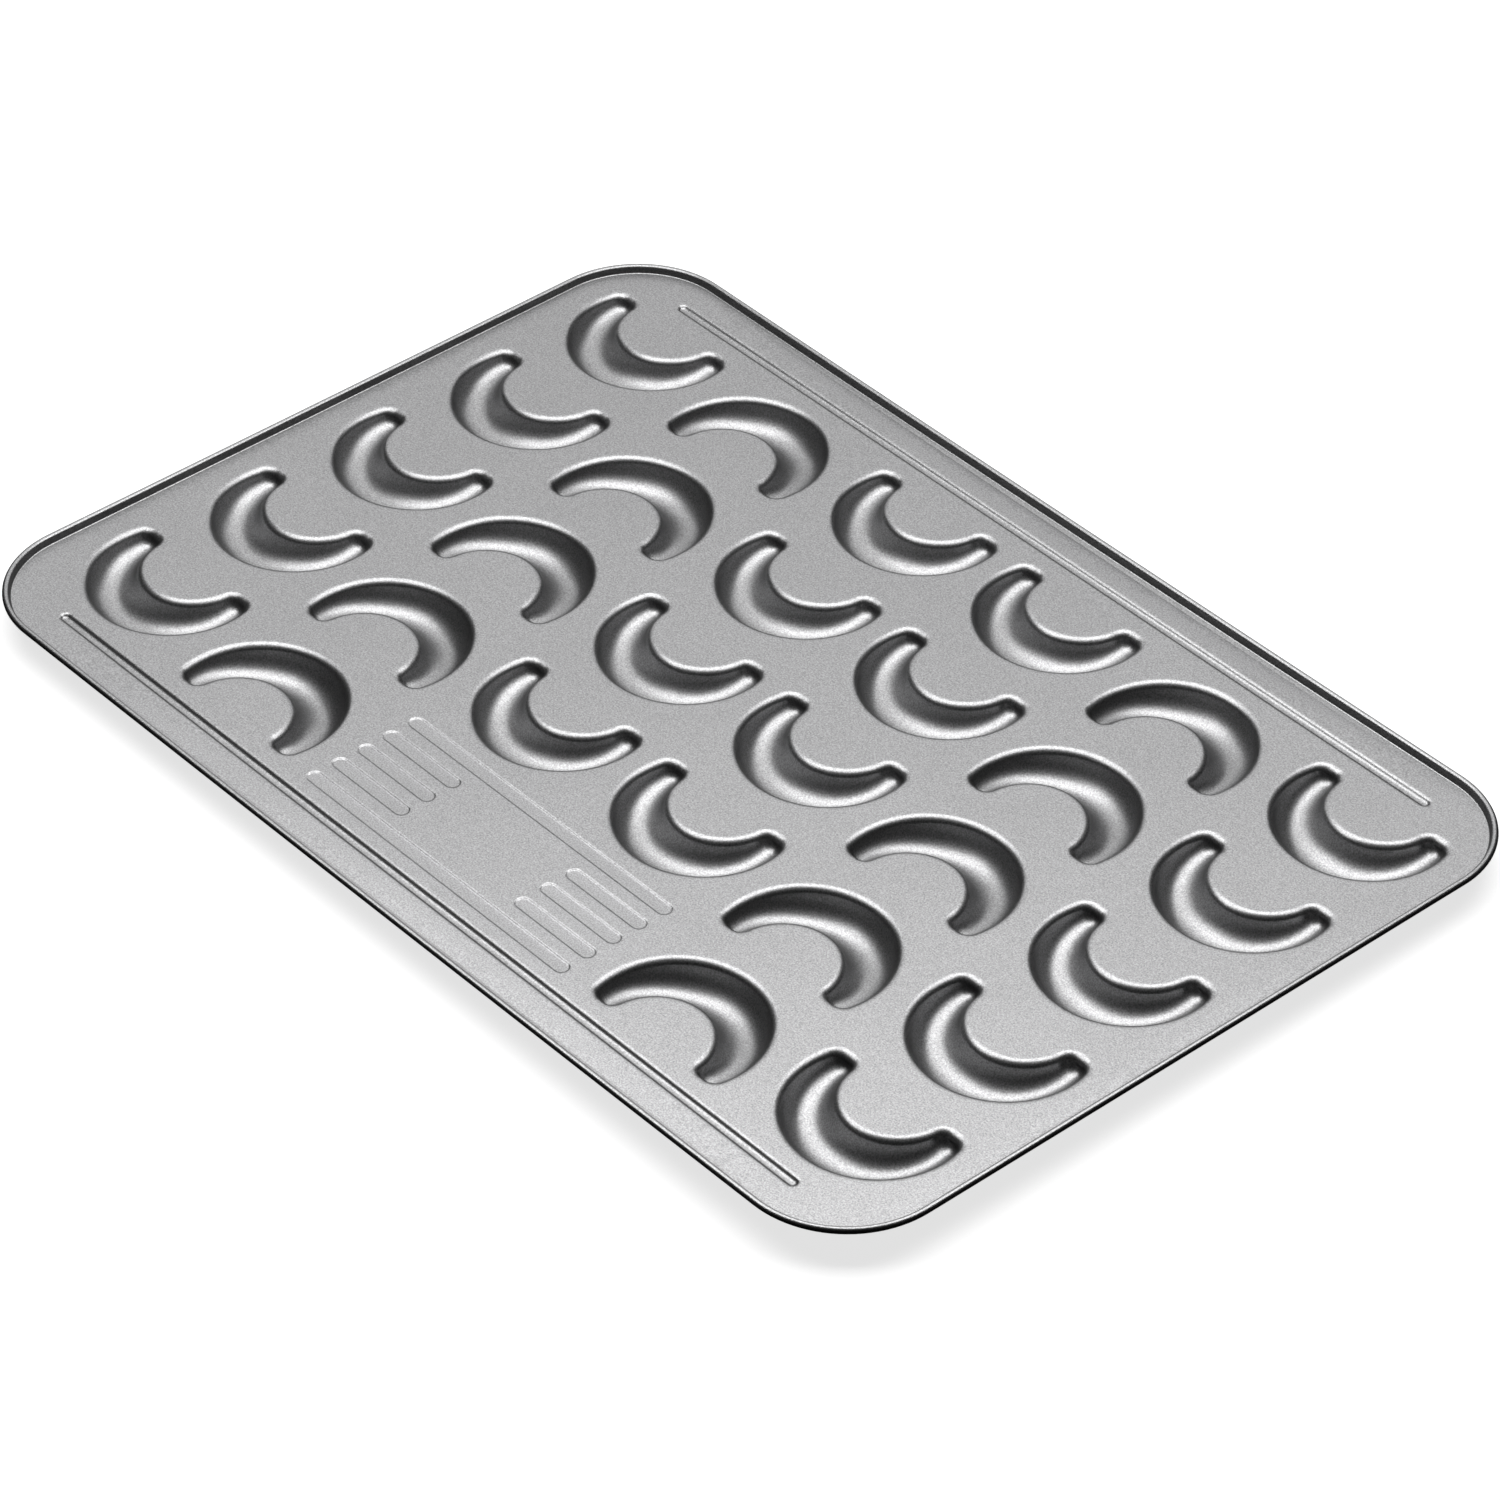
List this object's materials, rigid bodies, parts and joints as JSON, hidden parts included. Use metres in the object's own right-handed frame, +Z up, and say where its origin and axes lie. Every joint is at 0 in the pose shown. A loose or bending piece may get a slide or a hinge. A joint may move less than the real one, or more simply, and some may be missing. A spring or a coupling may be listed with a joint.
{
  "type": "crescent cookie pan",
  "caption": "Flat pressed-steel baking tray with crescent moulds for shaping cookies, two stiffening beads and a rolled rim.",
  "frame": {"origin": "middle of the pan, at the level the moulds stand on", "axes": "+X along the long side, +Y away from the bar panel, +Z up out of the moulds"},
  "size_m": [0.42, 0.2904, 0.0126],
  "materials": {
    "coated_steel": "fine-grained grey metallic non-stick coating, satin"
  },
  "bodies": {
    "root": {"deck": "coated_steel", "mould_c1_r1": "coated_steel", "mould_c1_r2": "coated_steel", "mould_c1_r3": "coated_steel", "mould_c1_r4": "coated_steel", "mould_c1_r5": "coated_steel", "mould_c2_r1": "coated_steel", "mould_c2_r2": "coated_steel", "mould_c2_r3": "coated_steel", "mould_c2_r4": "coated_steel", "mould_c2_r5": "coated_steel", "mould_c3_r2": "coated_steel", "mould_c3_r3": "coated_steel", "mould_c3_r4": "coated_steel", "mould_c3_r5": "coated_steel", "mould_c4_r2": "coated_steel", "mould_c4_r3": "coated_steel", "mould_c4_r4": "coated_steel", "mould_c4_r5": "coated_steel", "mould_c5_r1": "coated_steel", "mould_c5_r2": "coated_steel", "mould_c5_r3": "coated_steel", "mould_c5_r4": "coated_steel", "mould_c5_r5": "coated_steel", "mould_c6_r1": "coated_steel", "mould_c6_r2": "coated_steel", "mould_c6_r3": "coated_steel", "mould_c6_r4": "coated_steel", "mould_c6_r5": "coated_steel", "rolled_rim": "coated_steel"}
  },
  "joints": []
}
